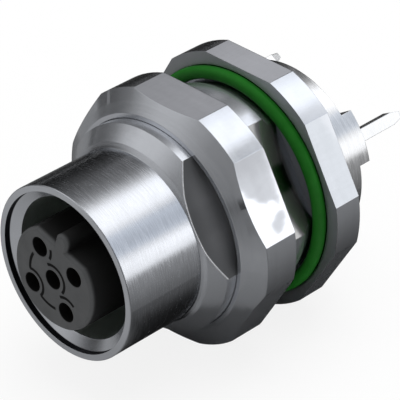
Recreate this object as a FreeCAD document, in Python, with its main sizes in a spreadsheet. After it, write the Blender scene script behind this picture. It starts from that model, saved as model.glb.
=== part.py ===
"""Five-way M12 panel socket with solder tails, for mounting from behind a panel.

The axis of the socket is Y. The mating face looks towards -Y, +Z is up, and the
origin lies on the axis in the plane of the flange face that meets the panel.
Sizes are in millimetres. Every size and place is a cell of the sheet "Sizes".
"""

import FreeCAD, Part
import math
import os
import re
import Sketcher

doc = FreeCAD.newDocument("M12PanelSocket")
Vector = FreeCAD.Vector

# Driving sizes

SIZES = {
    # Barrel and its bore, with places along the axis counted from the panel face
    "mating_thread_radius": 6.0,
    "barrel_wall": 1.38,
    "rim_front": -18.9,
    "rim_step": 0.5,
    "lead_in_length": 1.04,
    "lead_in_width": 0.82,
    "bore_floor": -9.7,
    "web_thickness": 1.5,
    # Panel thread with its key flat
    "panel_thread_radius": 8.92,
    "thread_front": -10.05,
    "shoulder_width": 0.43,
    "shoulder_length": 0.26,
    "key_step": 0.08,
    "key_angle": 30.0,
    "relief_depth": 0.32,
    "relief_length": 1.3,
    "rear_wall": 0.96,
    # Hexagons of the flange and of the nut
    "flange_thickness": 2.64,
    "wrench_wall": 1.54,
    "wrench_corner": 0.58,
    "edge_break": 0.06,
    # Hex nut
    "nut_setback": 0.99,
    "nut_length": 4.42,
    "nut_face_width": 0.38,
    "nut_cone_depth": 1.19,
    "nut_play": 0.04,
    # Panel seal
    "seal_half_width": 0.545,
    "seal_gap": 0.275,
    "seal_groove_depth": 0.265,
    # Contact carrier
    "insert_standout": 1.12,
    "insert_edge": 0.2,
    "chord_depth": 0.94,
    "coding_angle": 75.0,
    "rib_width": 1.3,
    "rib_height": 0.31,
    "web_gap": 0.41,
    "carrier_flange_length": 1.8,
    "carrier_neck_depth": 1.15,
    "carrier_neck_length": 1.3,
    "pitch_radius": 2.75,
    "socket_wall": 0.28,
    "entry_play": 0.025,
    "collar_wall": 0.305,
    "insert_wall": 0.46,
    # Rear insulator
    "insulator_standout": 4.0,
    "insulator_chamfer": 0.4,
    # Shield sleeve
    "sleeve_seat": 0.6,
    "seat_width": 0.52,
    "sleeve_wall": 1.0,
    "sleeve_length": 5.68,
    "tab_width": 4.4,
    "tab_length": 1.13,
    "tab_slope": 0.29,
    "prong_width": 1.05,
    "prong_thickness": 0.9,
    "prong_length": 5.67,
    "prong_point": 0.9,
    "prong_point_width": 0.55,
    "prong_point_thickness": 0.5,
    # Contacts
    "contact_recess": 1.22,
    "socket_radius": 0.52,
    "socket_depth": 6.2,
    "tine_slot": 0.24,
    "tine_length": 5.4,
    "collar_length": 1.5,
    "tail_shoulder": 0.2,
    "tail_radius": 0.4,
    "tail_length": 6.4,
    "tail_chamfer": 0.15,
    # Clearances between pieces that fit
    "slip_fit": 0.05,
    "close_fit": 0.02,
}

sheet = doc.addObject("Spreadsheet::Sheet", "Sizes")
for row, (alias, value) in enumerate(SIZES.items(), start=1):
    sheet.set("A%d" % row, alias)
    sheet.set("B%d" % row, str(value))
    sheet.setAlias("B%d" % row, alias)
doc.recompute()

# Places and radii that follow from the driving sizes

BARREL = "(mating_thread_radius + barrel_wall)"
SHOULDER = "(%s + shoulder_width)" % BARREL
KEY_FLAT = "(%s + key_step)" % BARREL
RELIEF = "(panel_thread_radius - relief_depth)"
REAR_BORE = "(%s - rear_wall)" % KEY_FLAT
SLEEVE_BORE = "(%s + seat_width)" % REAR_BORE
SLEEVE = "(%s + sleeve_wall)" % SLEEVE_BORE
NUT_BORE = "(panel_thread_radius + nut_play)"
WRENCH_FLAT = "(%s + wrench_wall)" % NUT_BORE
WRENCH_ROUND = "(%s + wrench_corner)" % WRENCH_FLAT
SEAL_BORE = "(%s + seal_gap)" % RELIEF
SEAL_OUTSIDE = "(%s + 2 * seal_half_width)" % SEAL_BORE
TINE = "(socket_radius + socket_wall)"
ENTRY = "(%s + entry_play)" % TINE
COLLAR = "(%s + collar_wall)" % ENTRY
INSERT = "(pitch_radius + %s + insert_wall)" % COLLAR
WEB_BORE = "(%s + web_gap)" % INSERT
CARRIER_NECK = "(%s - slip_fit - carrier_neck_depth)" % REAR_BORE
CHORD = "(%s - chord_depth)" % INSERT

INSERT_FACE = "(rim_front - insert_standout)"
THREAD_START = "(rim_front + lead_in_length)"
CONE_FRONT = "(thread_front - panel_thread_radius + %s)" % SHOULDER
BARREL_REAR = "(%s - shoulder_length)" % CONE_FRONT
WEB_REAR = "(bore_floor + web_thickness)"
NECK_FRONT = "(%s + carrier_flange_length)" % WEB_REAR
CARRIER_REAR = "(%s + carrier_neck_length)" % NECK_FRONT
INSULATOR_REAR = "(sleeve_seat + insulator_standout)"
SLEEVE_REAR = "(sleeve_seat + sleeve_length)"
TAB_REAR = "(%s + tab_length)" % SLEEVE_REAR
PRONG_TIP = "(%s + prong_length)" % SLEEVE_REAR
NUT_FRONT = "(thread_front + nut_setback)"
NUT_REAR = "(%s + nut_length)" % NUT_FRONT
SHANK = "(tail_radius + tail_shoulder)"
CONTACT_FRONT = "(%s + contact_recess)" % INSERT_FACE
COLLAR_REAR = "(%s - close_fit)" % CARRIER_REAR
COLLAR_FRONT = "(%s - collar_length)" % COLLAR_REAR
TAIL_TIP = "(%s + tail_length)" % INSULATOR_REAR


def cells(text):
    """The same formula with every alias pointing at its cell of the sheet."""
    return re.sub(r"[a-z]\w+", lambda m: "Sizes." + m.group() if m.group() in SIZES else m.group(), text)


def worth(text):
    """The value of a formula with the sizes as they stand in the sheet."""
    return float(sheet.evalExpression(cells(text)))


def bind(item, **formulas):
    """Ties properties of a feature to the sheet."""
    for name, formula in formulas.items():
        item.setExpression(name.replace("__", "."), cells(formula))
    return item


# Sketches

def new_body(label):
    body = doc.addObject("PartDesign::Body", label)
    body.Label = label
    return body


def origin_feature(body, role):
    return next(item for item in body.Origin.OriginFeatures if item.Role == role)


def new_sketch(body, name, plane="XZ_Plane", at="0", turn="0"):
    """A sketch on an origin plane of its body. On the plane square to the axis it
    lies at the place "at" along the axis and is turned about the axis by "turn"."""
    sketch = body.newObject("Sketcher::SketchObject", name)
    sketch.AttachmentSupport = [(origin_feature(body, plane), "")]
    sketch.MapMode = "FlatFace"
    sketch.AttachmentOffset = FreeCAD.Placement(Vector(0, 0, 0), FreeCAD.Rotation(Vector(0, 0, 1), 1))
    bind(sketch, AttachmentOffset__Base__z="-(%s)" % at, AttachmentOffset__Rotation__Angle=turn)
    return sketch


def fix_point(sketch, edge, end, across, up):
    """Holds one end of an edge at a place worked out from the sheet."""
    for kind, formula in (("DistanceX", across), ("DistanceY", up)):
        number = sketch.addConstraint(Sketcher.Constraint(kind, -1, 1, edge, end, worth(formula)))
        sketch.setExpression("Constraints[%d]" % number, cells(formula))


def fix_radius(sketch, edge, formula):
    number = sketch.addConstraint(Sketcher.Constraint("Radius", edge, worth(formula)))
    sketch.setExpression("Constraints[%d]" % number, cells(formula))


def join_ends(sketch, edges):
    """Joins the end of each edge to the start of the next, all the way round."""
    for one, following in zip(edges, edges[1:] + edges[:1]):
        sketch.addConstraint(Sketcher.Constraint("Coincident", one, 2, following, 1))


def draw_outline(sketch, corners):
    """A closed outline of straight edges through corners given as pairs of formulas."""
    points = [Vector(worth(across), worth(up), 0) for across, up in corners]
    edges = []
    for one, following in zip(points, points[1:] + points[:1]):
        edges.append(sketch.addGeometry(Part.LineSegment(one, following)))
    join_ends(sketch, edges)
    for edge, (across, up) in zip(edges, corners):
        fix_point(sketch, edge, 1, across, up)


def draw_circle(sketch, radius, across="0", up="0"):
    centre = Vector(worth(across), worth(up), 0)
    edge = sketch.addGeometry(Part.Circle(centre, Vector(0, 0, 1), worth(radius)))
    fix_radius(sketch, edge, radius)
    fix_point(sketch, edge, 3, across, up)


def draw_round_rib(sketch, root, top, width):
    """A rib seen end on: straight sides that run out from the root to a half-round top."""
    half = "(%s / 2)" % width
    shoulder = "(%s - %s)" % (top, half)
    corners = [(shoulder, half), (root, half), (root, "-" + half), (shoulder, "-" + half)]
    points = [Vector(worth(across), worth(up), 0) for across, up in corners]
    sides = [sketch.addGeometry(Part.LineSegment(points[i], points[i + 1])) for i in range(3)]
    circle = Part.Circle(Vector(worth(shoulder), 0, 0), Vector(0, 0, 1), worth(half))
    crown = sketch.addGeometry(Part.ArcOfCircle(circle, -math.pi / 2, math.pi / 2))
    join_ends(sketch, sides + [crown])
    for side, (across, up) in zip(sides, corners):
        fix_point(sketch, side, 1, across, up)
    fix_point(sketch, sides[2], 2, *corners[3])
    number = sketch.addConstraint(Sketcher.Constraint("DistanceX", -1, 1, crown, 3, worth(shoulder)))
    sketch.setExpression("Constraints[%d]" % number, cells(shoulder))


# Features

def revolve(body, name, corners):
    """A turned form: the outline holds pairs of radius and place along the axis."""
    sketch = new_sketch(body, name + "Profile", "XY_Plane")
    draw_outline(sketch, corners)
    feature = body.newObject("PartDesign::Revolution", name)
    feature.Profile = sketch
    feature.ReferenceAxis = (sketch, ["V_Axis"])
    feature.Angle = 360
    doc.recompute()
    return feature


def pad(body, name, sketch, length):
    """Material that runs rearwards from the plane of its sketch."""
    feature = body.newObject("PartDesign::Pad", name)
    feature.Profile = sketch
    feature.Reversed = True
    bind(feature, Length=length)
    doc.recompute()
    return feature


def pocket(body, name, sketch, length):
    """A cut that runs rearwards from the plane of its sketch."""
    feature = body.newObject("PartDesign::Pocket", name)
    feature.Profile = sketch
    bind(feature, Length=length)
    doc.recompute()
    return feature


def pattern(body, name, features, count):
    """Copies of features evenly round the axis."""
    copies = body.newObject("PartDesign::PolarPattern", name)
    copies.Originals = features
    copies.Axis = (origin_feature(body, "Y_Axis"), [""])
    copies.Angle = 360
    copies.Occurrences = count
    body.Tip = copies
    doc.recompute()
    return copies


def bevel_edges(body, name, base, size, chosen):
    """A chamfer on the edges of the base feature that the test "chosen" accepts."""
    names = ["Edge%d" % (i + 1) for i, edge in enumerate(base.Shape.Edges) if chosen(edge)]
    feature = body.newObject("PartDesign::Chamfer", name)
    feature.Base = (base, names)
    bind(feature, Size=size)
    doc.recompute()
    return feature


def on_plane(edge, place):
    """Whether a whole edge lies in the plane square to the axis at a place."""
    return all(abs(point.y - worth(place)) < 1e-5 for point in edge.discretize(5))


def cut_flats(body, front, length):
    """Six wrench flats, the first of them on top."""
    sketch = new_sketch(body, "FlatOutline", at=front)
    half = "(%s * tan(30))" % WRENCH_ROUND
    draw_outline(sketch, [("-" + half, WRENCH_FLAT), (half, WRENCH_FLAT),
                          (half, WRENCH_ROUND + " + wrench_corner"), ("-" + half, WRENCH_ROUND + " + wrench_corner")])
    return pattern(body, "Flats", [pocket(body, "Flat", sketch, length)], 6)


CONTACT_TURNS = (90, 0, 270, 180)
CONTACT_PLACES = [("(pitch_radius * cos(key_angle + %d))" % turn, "(pitch_radius * sin(key_angle + %d))" % turn)
                  for turn in CONTACT_TURNS] + [("0", "0")]


def cut_contact_holes(body, name, radius, front, length):
    """Five round holes, one for each contact."""
    sketch = new_sketch(body, name + "Outline", at=front)
    for across, up in CONTACT_PLACES:
        draw_circle(sketch, radius, across, up)
    return pocket(body, name, sketch, length)


# Housing: threaded barrel, panel thread with a key flat, and hexagonal flange

housing = new_body("housing")
revolve(housing, "Turned", [
    ("mating_thread_radius + lead_in_width", "rim_front"),
    (BARREL + " - edge_break", "rim_front"),
    (BARREL, "rim_front + edge_break"),
    (BARREL, BARREL_REAR),
    (SHOULDER, CONE_FRONT),
    ("panel_thread_radius", "thread_front"),
    ("panel_thread_radius", "-relief_length"),
    (RELIEF, "-relief_length + relief_depth"),
    (RELIEF, "seal_groove_depth"),
    (SEAL_OUTSIDE + " + close_fit", "seal_groove_depth"),
    (SEAL_OUTSIDE + " + close_fit", "0"),
    (WRENCH_ROUND, "0"),
    (WRENCH_ROUND, "flange_thickness"),
    (SLEEVE + " + close_fit", "flange_thickness"),
    (SLEEVE + " + close_fit", "sleeve_seat"),
    (REAR_BORE, "sleeve_seat"),
    (REAR_BORE, WEB_REAR),
    (WEB_BORE, WEB_REAR),
    (WEB_BORE, "bore_floor"),
    ("mating_thread_radius", "bore_floor"),
    ("mating_thread_radius", THREAD_START),
    ("mating_thread_radius + lead_in_width", "rim_front + rim_step"),
])
key_sketch = new_sketch(housing, "KeyFlatOutline", at=BARREL_REAR, turn="key_angle")
draw_outline(key_sketch, [(KEY_FLAT, "-panel_thread_radius"), (WRENCH_ROUND, "-panel_thread_radius"),
                          (WRENCH_ROUND, "panel_thread_radius"), (KEY_FLAT, "panel_thread_radius")])
pocket(housing, "KeyFlat", key_sketch, "-" + BARREL_REAR)
cut_flats(housing, "0", "flange_thickness")

# Hex nut: coned front, turned corners and a plain rear face

hex_nut = new_body("hex_nut")
revolve(hex_nut, "Turned", [
    (NUT_BORE, NUT_FRONT),
    (NUT_BORE + " + nut_face_width", NUT_FRONT),
    (WRENCH_ROUND, NUT_FRONT + " + nut_cone_depth"),
    (WRENCH_ROUND, NUT_REAR + " - edge_break"),
    (WRENCH_ROUND + " - edge_break", NUT_REAR),
    (NUT_BORE, NUT_REAR),
])
cut_flats(hex_nut, NUT_FRONT, "nut_length")

# Panel seal: a round ring in the groove of the flange, its section drawn with ten sides

panel_seal = new_body("panel_seal")
SEAL_PITCH = "(%s + seal_half_width)" % SEAL_BORE
SEAL_MIDDLE = "(seal_groove_depth - close_fit - seal_half_width)"
revolve(panel_seal, "Ring", [
    ("%s + seal_half_width * cos(%d)" % (SEAL_PITCH, turn),
     "%s + seal_half_width * sin(%d)" % (SEAL_MIDDLE, turn)) for turn in range(0, 360, 36)])

# Contact carrier: flatted insert with a coding rib, five holes with seats for the collars of
# the contacts, and a flange that comes to rest against the web of the housing

contact_carrier = new_body("contact_carrier")
revolve(contact_carrier, "Turned", [
    ("0", INSERT_FACE),
    (INSERT, INSERT_FACE),
    (INSERT, "bore_floor"),
    (WEB_BORE + " - slip_fit", "bore_floor"),
    (WEB_BORE + " - slip_fit", WEB_REAR),
    (REAR_BORE + " - slip_fit", WEB_REAR),
    (REAR_BORE + " - slip_fit", NECK_FRONT),
    (CARRIER_NECK, NECK_FRONT),
    (CARRIER_NECK, CARRIER_REAR),
    ("0", CARRIER_REAR),
])
insert_length = "bore_floor - " + INSERT_FACE
chord_sketch = new_sketch(contact_carrier, "ChordOutline", at=INSERT_FACE, turn="coding_angle")
draw_outline(chord_sketch, [(CHORD, "-" + INSERT), (WEB_BORE, "-" + INSERT), (WEB_BORE, INSERT), (CHORD, INSERT)])
pocket(contact_carrier, "Chord", chord_sketch, insert_length)
rib_sketch = new_sketch(contact_carrier, "CodingRibOutline", at=INSERT_FACE, turn="coding_angle")
draw_round_rib(rib_sketch, "(%s - rib_width / 2)" % CHORD, "(%s + rib_height)" % INSERT, "rib_width")
coding_rib = pad(contact_carrier, "CodingRib", rib_sketch, insert_length)
bevel_edges(contact_carrier, "FaceBevel", coding_rib, "insert_edge",
            lambda edge: on_plane(edge, INSERT_FACE))
cut_contact_holes(contact_carrier, "Holes", ENTRY, INSERT_FACE, CARRIER_REAR + " - " + INSERT_FACE)
cut_contact_holes(contact_carrier, "CollarSeats", COLLAR + " + close_fit", COLLAR_FRONT + " - close_fit",
                  "collar_length + 2 * close_fit")

# Carrier seal: a ring of square section between the carrier's flange and the rear insulator

carrier_seal = new_body("carrier_seal")
revolve(carrier_seal, "Ring", [
    (CARRIER_NECK + " + close_fit", NECK_FRONT + " + close_fit"),
    (REAR_BORE + " - close_fit", NECK_FRONT + " + close_fit"),
    (REAR_BORE + " - close_fit", CARRIER_REAR + " - close_fit"),
    (CARRIER_NECK + " + close_fit", CARRIER_REAR + " - close_fit"),
])

# Rear insulator: holds the collars in their seats and guides the shanks of the contacts

rear_insulator = new_body("rear_insulator")
revolve(rear_insulator, "Turned", [
    ("0", CARRIER_REAR),
    (REAR_BORE + " - slip_fit", CARRIER_REAR),
    (REAR_BORE + " - slip_fit", "sleeve_seat"),
    (SLEEVE_BORE + " - slip_fit", "sleeve_seat"),
    (SLEEVE_BORE + " - slip_fit", INSULATOR_REAR + " - insulator_chamfer"),
    (SLEEVE_BORE + " - slip_fit - insulator_chamfer", INSULATOR_REAR),
    ("0", INSULATOR_REAR),
])
cut_contact_holes(rear_insulator, "ShankHoles", SHANK + " + slip_fit", CARRIER_REAR,
                  INSULATOR_REAR + " - " + CARRIER_REAR)

# Shield sleeve: a ring in the rear of the flange with three tabs, each with a solder prong

shield_sleeve = new_body("shield_sleeve")
revolve(shield_sleeve, "Turned", [
    (SLEEVE_BORE, "sleeve_seat"),
    (SLEEVE, "sleeve_seat"),
    (SLEEVE, TAB_REAR),
    (SLEEVE_BORE, TAB_REAR + " - tab_slope"),
])
gap_sketch = new_sketch(shield_sleeve, "GapOutline", at=SLEEVE_REAR, turn="key_angle + 60")
gap_root = "(tab_width / 2 / sin(60))"
gap_reach = "(%s * 1.5)" % SLEEVE
draw_outline(gap_sketch, [
    (gap_root, "0"),
    ("%s + %s * cos(60)" % (gap_root, gap_reach), "-%s * sin(60)" % gap_reach),
    ("%s + %s" % (gap_root, gap_reach), "0"),
    ("%s + %s * cos(60)" % (gap_root, gap_reach), "%s * sin(60)" % gap_reach),
])
pattern(shield_sleeve, "Gaps", [pocket(shield_sleeve, "Gap", gap_sketch, "tab_length * 1.5")], 3)
prong_outer = "(%s - close_fit)" % SLEEVE


def draw_prong(sketch, width, thickness):
    half = "(%s / 2)" % width
    inner = "(%s - %s)" % (prong_outer, thickness)
    draw_outline(sketch, [(inner, "-" + half), (prong_outer, "-" + half), (prong_outer, half), (inner, half)])


prong_sketch = new_sketch(shield_sleeve, "ProngOutline", at=SLEEVE_REAR, turn="key_angle")
draw_prong(prong_sketch, "prong_width", "prong_thickness")
prong = pad(shield_sleeve, "Prong", prong_sketch, "prong_length - prong_point")
wide_sketch = new_sketch(shield_sleeve, "PointStart", at=PRONG_TIP + " - prong_point", turn="key_angle")
draw_prong(wide_sketch, "prong_width", "prong_thickness")
tip_sketch = new_sketch(shield_sleeve, "PointTip", at=PRONG_TIP, turn="key_angle")
draw_prong(tip_sketch, "prong_point_width", "prong_point_thickness")
prong_tip = shield_sleeve.newObject("PartDesign::AdditiveLoft", "ProngPoint")
prong_tip.Profile = wide_sketch
prong_tip.Sections = [tip_sketch]
prong_tip.Ruled = True
doc.recompute()
pattern(shield_sleeve, "Prongs", [prong, prong_tip], 3)

# Contacts: turned sockets with two tines, a collar that the rear insulator holds, and a tail

contacts = []
for number, (across, up) in enumerate(CONTACT_PLACES, start=1):
    contact = new_body("contact_%d" % number)
    revolve(contact, "Turned", [
        ("socket_radius", CONTACT_FRONT),
        (TINE, CONTACT_FRONT),
        (TINE, COLLAR_FRONT),
        (COLLAR, COLLAR_FRONT),
        (COLLAR, COLLAR_REAR),
        (SHANK, COLLAR_REAR),
        (SHANK, INSULATOR_REAR),
        ("tail_radius", INSULATOR_REAR),
        ("tail_radius", TAIL_TIP + " - tail_chamfer"),
        ("tail_radius - tail_chamfer", TAIL_TIP),
        ("0", TAIL_TIP),
        ("0", CONTACT_FRONT + " + socket_depth"),
        ("socket_radius", CONTACT_FRONT + " + socket_depth"),
    ])
    slot_sketch = new_sketch(contact, "SlotOutline", at=CONTACT_FRONT)
    draw_outline(slot_sketch, [("-" + COLLAR, "-tine_slot / 2"), (COLLAR, "-tine_slot / 2"),
                               (COLLAR, "tine_slot / 2"), ("-" + COLLAR, "tine_slot / 2")])
    pocket(contact, "Slot", slot_sketch, "tine_length")
    bind(contact, Placement__Base__x=across, Placement__Base__z=up)
    contacts.append(contact)

# Checks, then one file for each piece

doc.recompute()
pieces = [housing, hex_nut, panel_seal, contact_carrier, carrier_seal, rear_insulator, shield_sleeve] + contacts
for item in doc.Objects:
    if "Invalid" in item.State or "Error" in item.State:
        raise RuntimeError("%s didn't build: %s" % (item.Label, item.State))
for piece in pieces:
    shape = piece.Shape
    if shape.isNull() or not shape.isValid() or len(shape.Solids) != 1:
        raise RuntimeError("%s isn't one valid solid" % piece.Label)

os.makedirs("parts", exist_ok=True)
for piece in pieces:
    piece.Shape.exportStep("parts/%s.step" % piece.Label)
    print("%-16s volume %9.3f mm3" % (piece.Label, piece.Shape.Volume))
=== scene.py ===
"""Studio picture of a five-way M12 panel socket. Lengths are in metres."""

import math
from types import SimpleNamespace

import bmesh
import bpy
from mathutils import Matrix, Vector


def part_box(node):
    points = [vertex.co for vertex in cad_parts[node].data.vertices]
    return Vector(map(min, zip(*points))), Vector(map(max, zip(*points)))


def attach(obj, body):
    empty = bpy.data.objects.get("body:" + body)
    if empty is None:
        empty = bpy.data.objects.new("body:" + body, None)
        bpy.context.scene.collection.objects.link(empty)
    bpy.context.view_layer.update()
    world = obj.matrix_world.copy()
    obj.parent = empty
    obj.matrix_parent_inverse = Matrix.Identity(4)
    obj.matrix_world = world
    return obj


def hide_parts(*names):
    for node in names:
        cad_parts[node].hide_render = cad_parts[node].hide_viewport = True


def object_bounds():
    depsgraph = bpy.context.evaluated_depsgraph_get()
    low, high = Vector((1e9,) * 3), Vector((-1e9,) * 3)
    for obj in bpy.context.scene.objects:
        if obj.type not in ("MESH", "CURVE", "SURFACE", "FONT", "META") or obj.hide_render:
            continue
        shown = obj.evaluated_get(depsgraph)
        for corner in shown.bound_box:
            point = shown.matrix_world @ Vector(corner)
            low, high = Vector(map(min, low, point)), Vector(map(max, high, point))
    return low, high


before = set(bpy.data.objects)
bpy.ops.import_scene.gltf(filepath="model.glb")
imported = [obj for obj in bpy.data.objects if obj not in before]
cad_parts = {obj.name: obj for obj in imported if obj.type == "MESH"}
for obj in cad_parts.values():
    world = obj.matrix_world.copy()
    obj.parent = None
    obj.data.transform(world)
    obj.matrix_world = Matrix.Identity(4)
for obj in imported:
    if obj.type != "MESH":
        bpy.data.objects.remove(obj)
cad_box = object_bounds()

# Camera at the photograph's place

CAMERA_PLACE = (0.117837, -0.122475, 0.108657)
CAMERA_AIM = (-0.591295, 0.593854, -0.54563)

camera = bpy.data.objects.new("camera", bpy.data.cameras.new("camera"))
bpy.context.scene.collection.objects.link(camera)
camera.location = CAMERA_PLACE
camera.rotation_euler = Vector(CAMERA_AIM).to_track_quat("-Z", "Y").to_euler()
camera.data.sensor_width = 36
camera.data.lens = 224.1
camera.data.clip_start = 0.01
bpy.context.scene.camera = camera
bpy.context.scene.view_settings.view_transform = "Standard"


# Node helpers

class Graph:
    """Builds the nodes of a material or a world with short calls that return sockets."""

    def __init__(self, name, world=False):
        self.owner = (bpy.data.worlds if world else bpy.data.materials).new(name)
        self.owner.use_nodes = True
        self.tree = self.owner.node_tree
        self.tree.nodes.clear()
        self.output = self.tree.nodes.new("ShaderNodeOutputWorld" if world else "ShaderNodeOutputMaterial")

    def node(self, kind, inputs=None, **settings):
        item = self.tree.nodes.new(kind)
        for key, value in settings.items():
            setattr(item, key, value)
        for key, value in (inputs or {}).items():
            self.feed(item.inputs[key], value)
        return item

    def feed(self, socket, value):
        if isinstance(value, bpy.types.NodeSocket):
            self.tree.links.new(value, socket)
        else:
            socket.default_value = value

    def math(self, operation, a, b=0.0):
        return self.node("ShaderNodeMath", {0: a, 1: b}, operation=operation).outputs[0]

    def add(self, a, b):
        return self.math("ADD", a, b)

    def sub(self, a, b):
        return self.math("SUBTRACT", a, b)

    def over(self, a, b):
        return self.math("DIVIDE", a, b)

    def most(self, a, b):
        return self.math("MAXIMUM", a, b)

    def least(self, a, b):
        return self.math("MINIMUM", a, b)

    def times(self, *values):
        result = values[0]
        for value in values[1:]:
            result = self.math("MULTIPLY", result, value)
        return result

    def length(self, a, b):
        return self.math("SQRT", self.add(self.times(a, a), self.times(b, b)))

    def step(self, value, start, end, low=0.0, high=1.0):
        """A soft step from low to high between two values; it falls where start lies above end."""
        return self.node("ShaderNodeMapRange", {"Value": value, "From Min": start, "From Max": end,
                                                "To Min": low, "To Max": high},
                         interpolation_type="SMOOTHSTEP").outputs[0]

    def near(self, value, middle, half, soft):
        """1 where a value lies within "half" of the middle, falling to 0 over "soft"."""
        return self.step(self.math("ABSOLUTE", self.sub(value, middle)), half + soft, half)

    def spread(self, value, low, high, start=0.0, end=1.0):
        """A value laid over another range."""
        return self.node("ShaderNodeMapRange", {"Value": value, "From Min": start, "From Max": end,
                                                "To Min": low, "To Max": high}).outputs[0]

    def mix(self, factor, one, other):
        item = self.node("ShaderNodeMix", data_type="RGBA")
        self.feed(item.inputs[0], factor)
        self.feed(item.inputs[6], one)
        self.feed(item.inputs[7], other)
        return item.outputs[2]

    def blend(self, factor, one, other):
        return self.node("ShaderNodeMix", {0: factor, 2: one, 3: other}).outputs[0]

    def scaled(self, vector, factor):
        return self.node("ShaderNodeVectorMath", {0: vector, "Scale": factor}, operation="SCALE").outputs[0]

    def noise(self, vector, scale, detail=3.0, rough=0.55):
        return self.node("ShaderNodeTexNoise", {"Vector": vector, "Scale": scale, "Detail": detail,
                                                "Roughness": rough}).outputs[0]

    def ramp(self, value, stops):
        item = self.node("ShaderNodeValToRGB", {"Fac": value})
        marks = item.color_ramp.elements
        while len(marks) < len(stops):
            marks.new(0.5)
        for mark, (place, colour) in zip(marks, stops):
            mark.position = place
            mark.color = colour
        return item.outputs[0]

    def curve(self, value, low, high, pairs, peak=1.0):
        """A grey from pairs of value and brightness that lie between low and high, in shares of a peak."""
        stops = [((place - low) / (high - low), grey(bright / peak)) for place, bright in pairs]
        return self.ramp(self.spread(value, 0.0, 1.0, low, high), stops)

    def combine(self, x, y, z):
        return self.node("ShaderNodeCombineXYZ", {0: x, 1: y, 2: z}).outputs[0]

    def here(self):
        """The point, its x and z, its place along the axis, and its radius and angle about the axis."""
        point = self.node("ShaderNodeTexCoord").outputs["Object"]
        x, along, z = self.node("ShaderNodeSeparateXYZ", {0: point}).outputs
        return SimpleNamespace(point=point, x=x, z=z, along=along, radius=self.length(x, z),
                               angle=self.math("ARCTAN2", z, x))

    def seen(self):
        """1 for rays from the camera, also by way of gloss or glass."""
        rays = self.node("ShaderNodeLightPath").outputs
        return self.most(self.most(rays["Is Camera Ray"], rays["Is Glossy Ray"]), rays["Is Transmission Ray"])

    def bump(self, height, strength, depth=0.00002, edge=None):
        """A normal with fine relief, and with edges that look rounded where "edge" gives a radius."""
        inputs = {"Strength": strength, "Distance": depth, "Height": height}
        if edge:
            inputs["Normal"] = self.node("ShaderNodeBevel", {"Radius": edge}, samples=6).outputs[0]
        return self.node("ShaderNodeBump", inputs).outputs[0]

    def principled(self, inputs):
        return self.node("ShaderNodeBsdfPrincipled", inputs).outputs[0]

    def emission(self, colour):
        return self.node("ShaderNodeEmission", {"Color": colour, "Strength": 1.0}).outputs[0]

    def finish(self, shader):
        self.tree.links.new(shader, self.output.inputs["Surface"])
        return self.owner


def grey(value):
    return (value, value, value, 1.0)


# Where the faces of the turned pieces lie. A pair holds the radii, or the places along the axis, between
# which a mask rises from 0 to 1

BARREL = 0.007385
HEXAGON = (0.0101, 0.01012)
BELOW_TURNED_CORNER = (0.011072, 0.01106)
CONE_INNER = (0.0075, 0.0076)
CONE_OUTER = (0.01106, 0.01104)
BEFORE_FLANGE = (-0.0005, -0.0008)
OUTSIDE_SEAL = (0.0098, 0.0099)
INSIDE_SEAL = (0.0089, 0.00886)
BORE_WALL = (0.00612, 0.00604)
BEHIND_RIM = (-0.0179, -0.0177)
RIM_WALL = 0.00682
RIM_WALL_FRONT = (-0.01889, -0.01886)
RIM_WALL_BACK = (-0.01835, -0.0184)

# The key flat: its distance from the axis and its turn, the cones whose crossings make its front edge, and
# how its look changes along and across it

KEY_FLAT = 0.00746
KEY_TURN = math.radians(30)
LEAD_CONE_TIP = 0.01897
SHOULDER_TIP = 0.015883
SHOULDER_SLOPE = 0.6047
THREAD_FRONT = -0.01005
TOWARDS_NUT = (-0.0112, -0.0090)
BEHIND_NUT = (-0.0052, -0.0048)
KEY_MIDDLE = (0.0048, 0.0010)
KEY_LINE = (0.00013, 0.00007)


# Metals: turned faces carry fine rings round the axis, hexagon flats a soft drawn grain

def shade_of(base, factor):
    return [min(1.0, c * factor) for c in base] + [1.0]


def turned_rings(graph, here, fine, coarse, detail, rough=0.55):
    """Noise that is fine across the turning marks and coarse along them."""
    across = graph.combine(graph.times(here.radius, fine), graph.times(here.along, fine),
                           graph.times(here.angle, coarse))
    return graph.noise(across, 1.0, detail, rough)


def flange_face(graph, here, colour, roughness):
    """The flange's face: rougher, and darkened by painted shade, more inside the seal than outside."""
    on_face = graph.near(here.along, 0.0, half=0.00002, soft=0.00002)
    outside = graph.times(on_face, graph.step(here.radius, *OUTSIDE_SEAL))
    inside = graph.times(on_face, graph.step(here.radius, *INSIDE_SEAL))
    # Painted shade: the face's colour is pulled towards dark grey, more strongly inside the seal.
    colour = graph.mix(graph.times(outside, 0.45), colour, grey(0.3))
    colour = graph.mix(graph.times(inside, 0.75), colour, grey(0.2))
    return colour, graph.blend(graph.most(outside, inside), roughness, 0.5)


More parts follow.
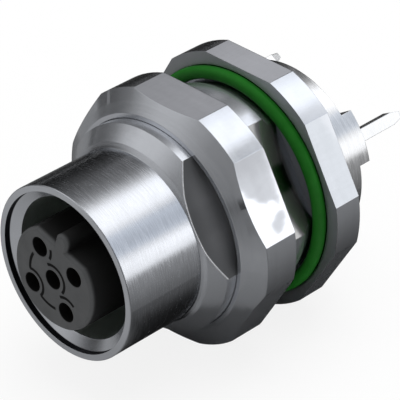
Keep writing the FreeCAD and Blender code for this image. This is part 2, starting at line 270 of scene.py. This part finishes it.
def key_flat(graph, here, blotches, colour, roughness, metallic, height):
    """The key flat: dark from painted shade before the nut, with painted light in its middle next to the nut,
    like a mirror behind the nut, and with a painted highlight along its front edge.
    """
    sine, cosine = math.sin(KEY_TURN), math.cos(KEY_TURN)
    outward = graph.add(graph.times(here.x, cosine), graph.times(here.z, sine))
    sideways = graph.sub(graph.times(here.z, cosine), graph.times(here.x, sine))
    flat = graph.times(graph.near(outward, KEY_FLAT, half=0.00002, soft=0.00001),
                       graph.step(here.along, *BEFORE_FLANGE))
    edge = graph.most(graph.sub(here.radius, LEAD_CONE_TIP),
                      graph.sub(graph.times(here.radius, SHOULDER_SLOPE), SHOULDER_TIP))
    from_edge = graph.sub(here.along, graph.least(edge, THREAD_FRONT))
    # Painted highlight: a strip of pale metal along the flat's front edge.
    painted_edge_highlight = graph.times(flat, graph.step(from_edge, *KEY_LINE))
    behind_nut = graph.step(here.along, *BEHIND_NUT)
    # Painted light: the flat is lighter in its middle next to the nut, where the nut shades it.
    painted_light_near_nut = graph.times(graph.step(here.along, *TOWARDS_NUT),
                           graph.step(graph.math("ABSOLUTE", sideways), *KEY_MIDDLE))
    # Painted shade: the flat before the nut is given a dark grey.
    flat_painted_shade = graph.mix(painted_light_near_nut, (0.092, 0.096, 0.103, 1.0), (0.24, 0.245, 0.26, 1.0))
    flat_painted_shade = graph.mix(behind_nut, flat_painted_shade, grey(0.5))
    flat_painted_shade = graph.mix(graph.spread(blotches, 0.0, 0.35), flat_painted_shade, grey(0.08))
    colour = graph.mix(flat, colour, flat_painted_shade)
    colour = graph.mix(painted_edge_highlight, colour, (0.9, 0.9, 0.92, 1.0))
    roughness = graph.blend(flat, roughness, graph.blend(behind_nut, 0.55, 0.12))
    # The flat is also made less metallic where it carries painted shade.
    dull = graph.times(flat, graph.sub(1.0, painted_edge_highlight), graph.sub(1.0, behind_nut))
    metallic = graph.sub(metallic, graph.times(dull, 0.66))
    return colour, roughness, metallic, graph.times(height, graph.sub(1.0, flat))


def bore_walls(graph, here, blotches, colour, roughness):
    """The plug's bore with its faintly green gloss, and painted shade on the wall just inside the rim."""
    wall = graph.times(graph.step(here.radius, *BORE_WALL), graph.step(here.along, *BEHIND_RIM))
    rim_wall_shade = graph.times(graph.near(here.radius, RIM_WALL, half=0.00003, soft=0.00002),
                           graph.step(here.along, *RIM_WALL_FRONT), graph.step(here.along, *RIM_WALL_BACK))
    colour = graph.mix(wall, colour, graph.mix(blotches, (0.64, 0.70, 0.66, 1.0), (0.72, 0.78, 0.74, 1.0)))
    # Painted shade: the narrow wall just inside the rim is made near black.
    colour = graph.mix(rim_wall_shade, colour, (0.05, 0.052, 0.06, 1.0))
    return colour, graph.add(roughness, graph.times(graph.most(wall, rim_wall_shade), 0.25))


def turned_metal(name, base, housing=False, hexagon=True):
    graph = Graph(name)
    here = graph.here()
    blotches = graph.noise(here.point, 420.0, 3.0, 0.6)
    broad = turned_rings(graph, here, fine=1400.0, coarse=0.8, detail=2.0)
    hairs = turned_rings(graph, here, fine=13000.0, coarse=5.0, detail=4.0, rough=0.65)
    hairs = graph.step(hairs, 0.38, 0.66)
    if housing:
        on_barrel = graph.near(here.radius, BARREL, half=0.000025, soft=0.00003)
        hairs = graph.blend(on_barrel, graph.spread(hairs, 0.4, 0.6), hairs)
    elif hexagon:
        hairs = graph.spread(hairs, 0.35, 0.65)
    if hexagon:
        in_hexagon = graph.step(here.radius, *HEXAGON)
        drawn = graph.node("ShaderNodeMapping", {"Vector": here.point, "Scale": (5200.0, 700.0, 5200.0)})
        grain = graph.noise(drawn.outputs[0], 1.0, 3.0)
        hairs = graph.blend(in_hexagon, hairs, graph.spread(grain, 0.2, 0.7))
    lines = graph.add(graph.times(hairs, 0.6), graph.times(broad, 0.4))
    colour = graph.mix(lines, shade_of(base, 0.84), shade_of(base, 1.12))
    colour = graph.mix(graph.step(blotches, 0.45, 0.75, 0.0, 0.16), colour, shade_of(base, 0.72))
    roughness = graph.add(graph.spread(lines, 0.10, 0.30), graph.spread(blotches, -0.03, 0.05))
    metallic, height = 1.0, lines
    if hexagon:
        flats = graph.times(in_hexagon, graph.step(here.radius, *BELOW_TURNED_CORNER))
        cones = graph.times(graph.step(here.radius, *CONE_INNER), graph.step(here.radius, *CONE_OUTER),
                            graph.step(here.along, *BEFORE_FLANGE))
        roughness = graph.blend(flats, roughness, graph.spread(blotches, 0.03, 0.06))
        metallic = graph.sub(1.0, graph.times(graph.most(cones, flats), 0.11))
        height = graph.times(height, graph.sub(1.0, graph.times(flats, 0.85)))
    if housing:
        colour, roughness = flange_face(graph, here, colour, roughness)
        colour, roughness, metallic, height = key_flat(graph, here, blotches, colour, roughness, metallic,
                                                       height)
        colour, roughness = bore_walls(graph, here, blotches, colour, roughness)
    tangent = graph.node("ShaderNodeTangent", direction_type="RADIAL", axis="Y").outputs[0]
    return graph.finish(graph.principled({
        "Base Color": colour, "Metallic": metallic, "Roughness": roughness, "Anisotropic": 0.55,
        "Anisotropic Rotation": 0.25, "Normal": graph.bump(height, 0.10, edge=0.00007), "Tangent": tangent}))


def rubber(name):
    graph = Graph(name)
    point = graph.here().point
    cloud = graph.noise(point, 900.0, 4.0, 0.6)
    grain = graph.noise(point, 9000.0, 2.0, 0.5)
    height = graph.add(graph.times(grain, 0.5), graph.times(cloud, 0.5))
    return graph.finish(graph.principled({
        "Base Color": graph.mix(cloud, (0.007, 0.105, 0.007, 1.0), (0.016, 0.165, 0.015, 1.0)),
        "Roughness": graph.spread(cloud, 0.35, 0.55), "Normal": graph.bump(height, 0.15, 0.00003),
        "Specular IOR Level": 0.16}))


# The insert's face: fine grooves, given by centre, radius and the turns where each begins and ends, and the
# holes of the four outer contacts. The fifth hole is on the axis

GROOVES = [
    (-0.001375, 0.002382, 0.00125, -30, 12),
    (0.0, 0.0, 0.00258, 147, 184),
    (-0.002382, -0.001375, 0.00122, -43, 101),
    (0.0, 0.0, 0.00263, 237, 273),
    (0.0, 0.0, 0.00128, -38, 116),
    (0.001375, -0.002382, 0.0013, 47, 119),
]
GROOVE_HALF = 0.0001
GROOVE_SOFT = 0.00006
HOLES = [(-0.001375, 0.0023816), (0.0023816, 0.001375), (0.001375, -0.0023816), (-0.0023816, -0.001375)]
HOLE_WALL = (0.00087, 0.00084)
CONTACT_BORE = (0.00055, 0.00053)
CONTACT_FRONT = (-0.0115, -0.0120)
INSERT_FRONT = (-0.02001, -0.01999)
INSERT_FACE = (-0.01992, -0.01997)
INSERT_SIDE = (-0.01995, -0.0195)


def nearest_hole(graph, here):
    """How far a point lies from the nearest contact's own axis."""
    nearest = graph.length(here.x, here.z)
    for hole_x, hole_z in HOLES:
        nearest = graph.least(nearest, graph.length(graph.sub(here.x, hole_x), graph.sub(here.z, hole_z)))
    return nearest


def groove(graph, here, centre_x, centre_z, size, start, end):
    sideways = graph.sub(here.x, centre_x)
    up = graph.sub(here.z, centre_z)
    reach = graph.length(sideways, up)
    middle = math.radians((start + end) / 2)
    ahead = graph.add(graph.times(sideways, math.cos(middle)), graph.times(up, math.sin(middle)))
    limit = math.cos(math.radians((end - start) / 2))
    between_ends = graph.step(graph.over(ahead, reach), limit - 0.02, limit + 0.01)
    return graph.times(graph.near(reach, size, GROOVE_HALF, GROOVE_SOFT), between_ends)


def insert_grooves_and_painted_shade(graph, here, colour, height):
    """Painted shade on the insert: a near-black side, hole walls and grooves. The grooves are metallic, which
    dims their gloss.
    """
    lines = 0.0
    for values in GROOVES:
        lines = graph.most(lines, groove(graph, here, *values))
    lines = graph.times(lines, graph.step(here.along, *INSERT_FACE))
    in_hole = graph.times(graph.step(nearest_hole(graph, here), *HOLE_WALL),
                          graph.step(here.along, *INSERT_FRONT))
    # Painted shade: the insert's side goes near black behind its face.
    colour = graph.mix(graph.step(here.along, *INSERT_SIDE), colour, grey(0.012))
    # Painted shade in the hole walls and in the grooves, which the bump also sinks.
    colour = graph.mix(graph.most(lines, in_hole), colour, grey(0.006))
    return colour, graph.sub(height, graph.times(lines, 4.0)), graph.times(lines, 0.8)


def plastic(name, dark, light, rough, insert=False):
    graph = Graph(name)
    here = graph.here()
    cloud = graph.noise(here.point, 500.0, 3.0, 0.6)
    grain = graph.noise(here.point, 14000.0, 3.0, 0.6)
    colour = graph.mix(graph.spread(cloud, 0.0, 1.0, 0.2, 0.8), dark, light)
    height = graph.add(graph.times(grain, 0.7), graph.times(cloud, 0.3))
    metallic = 0.0
    if insert:
        colour, height, metallic = insert_grooves_and_painted_shade(graph, here, colour, height)
    return graph.finish(graph.principled({
        "Base Color": colour, "Metallic": metallic, "Specular IOR Level": 0.3,
        "Roughness": graph.spread(grain, rough - 0.08, rough + 0.08),
        "Normal": graph.bump(height, 0.2, edge=0.00015)}))


def gold(name):
    graph = Graph(name)
    here = graph.here()
    rings = graph.noise(graph.combine(graph.times(here.along, 8000.0), graph.times(here.x, 300.0),
                                      graph.times(here.z, 300.0)), 1.0, 3.0)
    colour = graph.mix(rings, (0.72, 0.5, 0.2, 1.0), (0.9, 0.7, 0.36, 1.0))
    bore = graph.times(graph.step(nearest_hole(graph, here), *CONTACT_BORE),
                       graph.step(here.along, *CONTACT_FRONT))
    return graph.finish(graph.principled({
        "Base Color": graph.mix(bore, colour, (0.2, 0.13, 0.05, 1.0)), "Metallic": 1.0,
        "Roughness": graph.spread(rings, 0.18, 0.32), "Normal": graph.bump(rings, 0.1)}))


NICKEL = (0.705, 0.728, 0.775)
PALE_NICKEL = (0.84, 0.85, 0.87)
DARK_GREY = ((0.066, 0.068, 0.071, 1.0), (0.1, 0.103, 0.106, 1.0))
BLACK = ((0.018, 0.018, 0.02, 1.0), (0.035, 0.035, 0.038, 1.0))

seal_rubber = rubber("panel_seal")
contact_gold = gold("contact")
FINISHES = {
    "housing": turned_metal("housing", NICKEL, housing=True),
    "hex_nut": turned_metal("hex_nut", NICKEL),
    "shield_sleeve": turned_metal("shield_sleeve", PALE_NICKEL, hexagon=False),
    "panel_seal": seal_rubber,
    "carrier_seal": rubber("carrier_seal"),
    "contact_carrier": plastic("carrier", *DARK_GREY, 0.55, insert=True),
    "rear_insulator": plastic("insulator", *BLACK, 0.45),
}
for name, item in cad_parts.items():
    item.data.materials.clear()
    item.data.materials.append(FINISHES.get(name, contact_gold))


# New pieces

def new_object(name, mesh):
    item = bpy.data.objects.new(name, mesh)
    bpy.context.scene.collection.objects.link(item)
    return item


def skin(name, loops, closed=False, cap=False):
    """A mesh object from loops of points. A closed one runs on from its last points and loop to the first."""
    mesh = bpy.data.meshes.new(name)
    work = bmesh.new()
    rows = [[work.verts.new(point) for point in loop] for loop in loops]
    wrap = 1 if closed else 0
    for one, following in zip(rows, rows[1:] + rows[:wrap]):
        for i in range(len(one) - 1 + wrap):
            j = (i + 1) % len(one)
            work.faces.new((one[i], one[j], following[j], following[i]))
    if cap:
        work.faces.new(rows[0])
    if closed:
        bmesh.ops.recalc_face_normals(work, faces=work.faces)
    for face in work.faces:
        face.smooth = closed
    work.to_mesh(mesh)
    work.free()
    return new_object(name, mesh)


# The panel seal with its true round section

RING_STEPS = 240
SEAL_HALF = 0.000545
low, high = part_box("panel_seal")
seal_pitch = high[0] - SEAL_HALF
seal_middle = (low[1] + high[1]) / 2
section = [(seal_pitch + SEAL_HALF * math.cos(math.radians(t)),
            seal_middle + SEAL_HALF * math.sin(math.radians(t))) for t in range(0, 360, 12)]
turns = [2 * math.pi * step / RING_STEPS for step in range(RING_STEPS)]
seal_loops = [[(r * math.cos(turn), y, r * math.sin(turn)) for r, y in section] for turn in turns]
seal = skin("panel_seal_ring", seal_loops, closed=True)
seal.data.materials.append(seal_rubber)
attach(seal, "socket")
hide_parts("panel_seal")


# Studio: pale floor, soft lamps, and pale and dark cloth that only the metal's gloss sees

def sheet(name, corners, material):
    mesh = bpy.data.meshes.new(name)
    mesh.from_pydata(corners, [], [tuple(range(len(corners)))])
    item = new_object(name, mesh)
    item.data.materials.append(material)
    return item


def level_sheet(name, left, right, front, back, height, material):
    corners = ((left, front), (right, front), (right, back), (left, back))
    return sheet(name, [(x, y, height) for x, y in corners], material)


def only_in_gloss(item):
    for ray in ("camera", "diffuse", "transmission", "volume_scatter", "shadow"):
        setattr(item, "visible_" + ray, False)


def unsampled(material):
    material.cycles.emission_sampling = "NONE"
    return material


def glow(name, build):
    graph = Graph(name)
    return unsampled(graph.finish(graph.emission(build(graph, graph.here()))))


def pale_floor():
    """A pale matt floor that the camera sees as nearly white, apart from the object's shadow."""
    graph = Graph("floor")
    tone = graph.noise(graph.here().point, 6.0, 2.0)
    matt = graph.principled({"Base Color": graph.mix(tone, grey(0.972), grey(0.98)), "Roughness": 0.95,
                             "Specular IOR Level": 0.0})
    mixed = graph.node("ShaderNodeMixShader", {
        0: graph.times(graph.seen(), FLOOR_WHITE), 1: matt, 2: graph.emission(grey(1.0))})
    return unsampled(graph.finish(mixed.outputs[0]))


FLOOR = cad_box[0][2]
FLOOR_REACH = 4
FLOOR_WHITE = 0.85
level_sheet("floor", -FLOOR_REACH, FLOOR_REACH, -FLOOR_REACH, FLOOR_REACH, FLOOR, pale_floor())

# The tent over the part. Angles are about the axis in degrees, each with how bright the tent is there: behind
# the part, in front of it, and further in front
BEHIND = [(-10, 0.36), (-2, 0.5), (3, 1.27), (18, 1.32), (24, 1.06), (30, 0.74), (36, 0.64), (44, 0.66),
          (53, 0.82), (59, 1.12), (65, 1.42), (78, 1.46), (89, 1.40), (95, 1.0), (101, 0.6), (108, 0.36),
          (114, 0.23), (125, 0.145), (137, 0.088), (149, 0.052), (161, 0.02), (174, 0.012), (190, 0.012)]
BEFORE = [(-10, 0.16), (36, 0.20), (60, 0.20), (83, 0.26), (103, 0.54), (114, 0.66), (136, 0.69), (149, 0.53),
          (162, 0.16), (173, 0.06), (190, 0.05)]
FAR_BEFORE = [(-10, 0.0), (4, 0.0), (16, 0.2), (70, 0.21), (100, 0.25), (120, 0.37), (135, 0.53), (148, 0.54),
              (158, 0.42), (168, 0.14), (177, 0.05), (190, 0.05)]
RAMP_BELOW = 10
RAMP_SPAN = 200
BLUISH = (28, 58)
BLUISH_TINT = (0.93, 0.99, 1.08)
TENT_PEAK = 1.5
TENT_RADIUS = 0.35
TENT_ROWS = (-0.6, -0.2, 0.2, 0.6, 0.9)

# Where along the axis the tent's look changes, and from which angle the further border slants
TENT_MIDDLE = (-0.03, 0.08)
FAR_BORDER = -0.55
FAR_SOFT = 0.03
FAR_SLANT = 0.005
FAR_SLANT_FROM = 85.0


def angle_stops(stops):
    out = []
    for degrees, value in stops:
        tint = BLUISH_TINT if BLUISH[0] <= degrees <= BLUISH[1] else (1.0, 1.0, 1.0)
        out.append(((degrees + RAMP_BELOW) / RAMP_SPAN, [value * c / TENT_PEAK for c in tint] + [1.0]))
    return out


def tent_cloth(graph, here):
    degrees = graph.over(here.angle, math.pi / 180)
    turn = graph.over(graph.add(degrees, RAMP_BELOW), RAMP_SPAN)
    behind = graph.ramp(turn, angle_stops(BEHIND))
    before = graph.ramp(turn, angle_stops(BEFORE))
    far_before = graph.ramp(turn, angle_stops(FAR_BEFORE))
    slant = graph.times(graph.most(graph.sub(degrees, FAR_SLANT_FROM), 0.0), FAR_SLANT)
    from_border = graph.sub(here.along, graph.add(slant, FAR_BORDER))
    before = graph.mix(graph.step(from_border, FAR_SOFT, -FAR_SOFT), before, far_before)
    return graph.scaled(graph.mix(graph.step(here.along, *TENT_MIDDLE), before, behind), TENT_PEAK)


tent_arc = [(TENT_RADIUS * math.cos(math.radians(t)), TENT_RADIUS * math.sin(math.radians(t)))
            for t in range(-3, 184, 3)]
tent = skin("tent", [[(x, row, z) for x, z in tent_arc] for row in TENT_ROWS], cap=True)
tent.data.materials.append(glow("tent", tent_cloth))
only_in_gloss(tent)

# The dark cloth under the part: how bright it is across the axis behind the part, and along and across the
# axis in front of it
CLOTH_BEHIND = [(-0.30, 0.010), (-0.19, 0.010), (-0.058, 0.022), (-0.034, 0.14), (-0.023, 0.075),
                (-0.010, 0.028), (0.0, 0.008), (0.0067, 0.008), (0.0086, 0.010), (0.011, 0.022),
                (0.014, 0.070), (0.0187, 0.13), (0.026, 0.2), (0.043, 0.27), (0.116, 0.33), (0.30, 0.36)]
CLOTH_BEFORE = [(-0.20, 0.42), (-0.05, 0.40), (-0.030, 0.36), (-0.022, 0.28), (-0.0135, 0.15), (-0.010, 0.06),
                (0.0, 0.04)]
CLOTH_ACROSS = [(-0.3, 0.12), (-0.15, 0.15), (-0.08, 0.6), (-0.03, 1.05), (0.0, 1.05), (0.017, 0.76),
                (0.035, 0.34), (0.3, 0.3)]
CLOTH_PEAK = 1.2
CLOTH_WIDTH = 0.3
CLOTH_LENGTH = 0.2
ABOVE_FLOOR = 0.00006

# The slanting edge where the part of the cloth in front ends, and a grey patch far to its left
EDGE = (-0.0163, -0.0148)
EDGE_SLANT = 0.29
EDGE_SLANT_FROM = -0.01
PATCH_LEFT = (-0.15, -0.1)
PATCH_RIGHT = (-0.034, -0.042)
PATCH_FRONT = (-0.03, -0.02)
PATCH_BACK = (0.008, 0.003)


def under_cloth(graph, here):
    behind = graph.curve(here.x, -CLOTH_WIDTH, CLOTH_WIDTH, CLOTH_BEHIND)
    before = graph.curve(here.along, -CLOTH_LENGTH, 0.0, CLOTH_BEFORE)
    weight = graph.curve(here.x, -CLOTH_WIDTH, CLOTH_WIDTH, CLOTH_ACROSS, CLOTH_PEAK)
    before = graph.node("ShaderNodeVectorMath", {0: before, 1: weight}, operation="MULTIPLY").outputs[0]
    from_edge = graph.sub(here.along, graph.times(graph.most(here.x, EDGE_SLANT_FROM), EDGE_SLANT))
    colour = graph.mix(graph.step(from_edge, *EDGE), graph.scaled(before, CLOTH_PEAK), behind)
    patch = graph.times(graph.step(here.x, *PATCH_RIGHT), graph.step(here.x, *PATCH_LEFT),
                        graph.step(here.along, *PATCH_BACK), graph.step(here.along, *PATCH_FRONT))
    return graph.mix(patch, colour, grey(0.22))


only_in_gloss(level_sheet("under_cloth", -TENT_RADIUS, TENT_RADIUS, TENT_ROWS[0], TENT_ROWS[-1],
                          FLOOR + ABOVE_FLOOR, glow("under_cloth", under_cloth)))


# Small cards above and beside the hexagons

CARD_HEIGHT = 0.032
TOP_CARD_LEFT, TOP_CARD_RIGHT = -0.034, -0.018
CORNER_CARD_LEFT, CORNER_CARD_RIGHT = -0.0010, 0.0260
SIDE_CARD_X = 0.0398
SIDE_CARD_BOTTOM, SIDE_CARD_TOP = 0.0085, 0.0195

# The ragged border on the side card, lowest at one place along the axis, and the grey patch below it
BORDER_ALONG, BORDER_HEIGHT = 0.0189, 0.0132
BORDER_BEND = 520.0
BORDER_WANDER = 0.0014
SPOT_ALONG, SPOT_HEIGHT = 0.0180, 0.0116
SPOT_LENGTH, SPOT_WIDTH = 0.0016, 0.00055
SPOT_COSINE, SPOT_SINE = 0.8, 0.6


def top_card(graph, here):
    cloud = graph.noise(here.point, 120.0, 2.0)
    shade = graph.step(here.along, 0.017, 0.027, 0.33, 0.46)
    shade = graph.times(shade, graph.spread(cloud, 0.9, 1.1), graph.step(here.x, -0.034, -0.024, 0.8, 1.0))
    return graph.combine(shade, graph.times(shade, 0.985), shade)


def corner_card(graph, here):
    """White to the left, blue-grey to the right."""
    low = graph.step(graph.sub(here.along, graph.times(here.x, 0.2)), 0.0134, 0.0146, 0.36, 0.80)
    shade = graph.blend(graph.step(here.x, 0.012, 0.0195), 1.5, low)
    return graph.combine(graph.times(shade, 0.97), shade, graph.times(shade, 1.05))


def side_card(graph, here):
    """Pale above and white below, with a ragged edge and one grey patch in the white."""
    wander = graph.spread(graph.noise(here.point, 700.0, 2.0), -BORDER_WANDER, BORDER_WANDER, 0.2, 0.8)
    off = graph.sub(here.along, BORDER_ALONG)
    border = graph.add(graph.add(BORDER_HEIGHT, graph.times(off, off, BORDER_BEND)), wander)
    white = graph.step(graph.sub(here.z, border), 0.0002, -0.0002)
    along = graph.sub(here.along, SPOT_ALONG)
    up = graph.sub(here.z, SPOT_HEIGHT)
    longways = graph.over(graph.add(graph.times(along, SPOT_COSINE), graph.times(up, SPOT_SINE)), SPOT_LENGTH)
    sideways = graph.over(graph.sub(graph.times(up, SPOT_COSINE), graph.times(along, SPOT_SINE)), SPOT_WIDTH)
    spot = graph.step(graph.add(graph.length(longways, sideways), graph.times(wander, 300.0)), 1.1, 0.85)
    pale = graph.step(here.z, 0.0185, 0.0155, 0.80, 1.0)
    shade = graph.blend(white, graph.times(pale, 0.93), graph.blend(spot, 1.85, 0.95))
    return graph.combine(shade, shade, graph.times(shade, 1.01))


def flange_side_card(graph, here):
    shade = graph.spread(graph.noise(here.point, 60.0, 2.0), 1.04, 1.16)
    return graph.combine(shade, graph.times(shade, 1.02), graph.times(shade, 1.03))


top_glow = glow("top_card", top_card)
for name, front, back in (("nut_card", 0.0150, 0.0213), ("flange_card", 0.0247, 0.0312)):
    only_in_gloss(level_sheet(name, TOP_CARD_LEFT, TOP_CARD_RIGHT, front, back, CARD_HEIGHT, top_glow))

# The left end's front and back along the axis, then the right end's
corner_glow = glow("corner_card", corner_card)
for name, left_front, left_back, right_front, right_back in (
        ("nut_corner_card", 0.0077, 0.0124, 0.0132, 0.0180),
        ("flange_corner_card", 0.0152, 0.0204, 0.0205, 0.0260)):
    corners = [(CORNER_CARD_LEFT, left_front), (CORNER_CARD_RIGHT, right_front),
               (CORNER_CARD_RIGHT, right_back), (CORNER_CARD_LEFT, left_back)]
    only_in_gloss(sheet(name, [(x, y, CARD_HEIGHT) for x, y in corners], corner_glow))

for name, front, back, build in (("side_card", 0.0135, 0.0225, side_card),
                                 ("flange_side_card", 0.0228, 0.0300, flange_side_card)):
    only_in_gloss(sheet(name, [(SIDE_CARD_X, front, SIDE_CARD_BOTTOM), (SIDE_CARD_X, back, SIDE_CARD_BOTTOM),
                               (SIDE_CARD_X, back, SIDE_CARD_TOP), (SIDE_CARD_X, front, SIDE_CARD_TOP)],
                        glow(name, build)))


# Lamps and world

def lamp(name, place, width, power):
    light = bpy.data.lights.new(name, "AREA")
    light.shape = "SQUARE"
    light.size = width
    light.energy = power
    item = bpy.data.objects.new(name, light)
    bpy.context.scene.collection.objects.link(item)
    item.location = place
    item.rotation_euler = (-Vector(place)).to_track_quat("-Z", "Y").to_euler()
    item.visible_glossy = False


lamp("lamp_above", (-0.1, 0.3, 1.5), 1.3, 16.0)
lamp("lamp_left", (-1.1, -0.5, 1.1), 1.2, 1.5)

WORLD_LIGHT = 0.45
WORLD_SEEN = 1.0
graph = Graph("studio", world=True)
background = graph.node("ShaderNodeBackground", {
    "Color": grey(1.0), "Strength": graph.spread(graph.seen(), WORLD_LIGHT, WORLD_SEEN)})
bpy.context.scene.world = graph.finish(background.outputs[0])
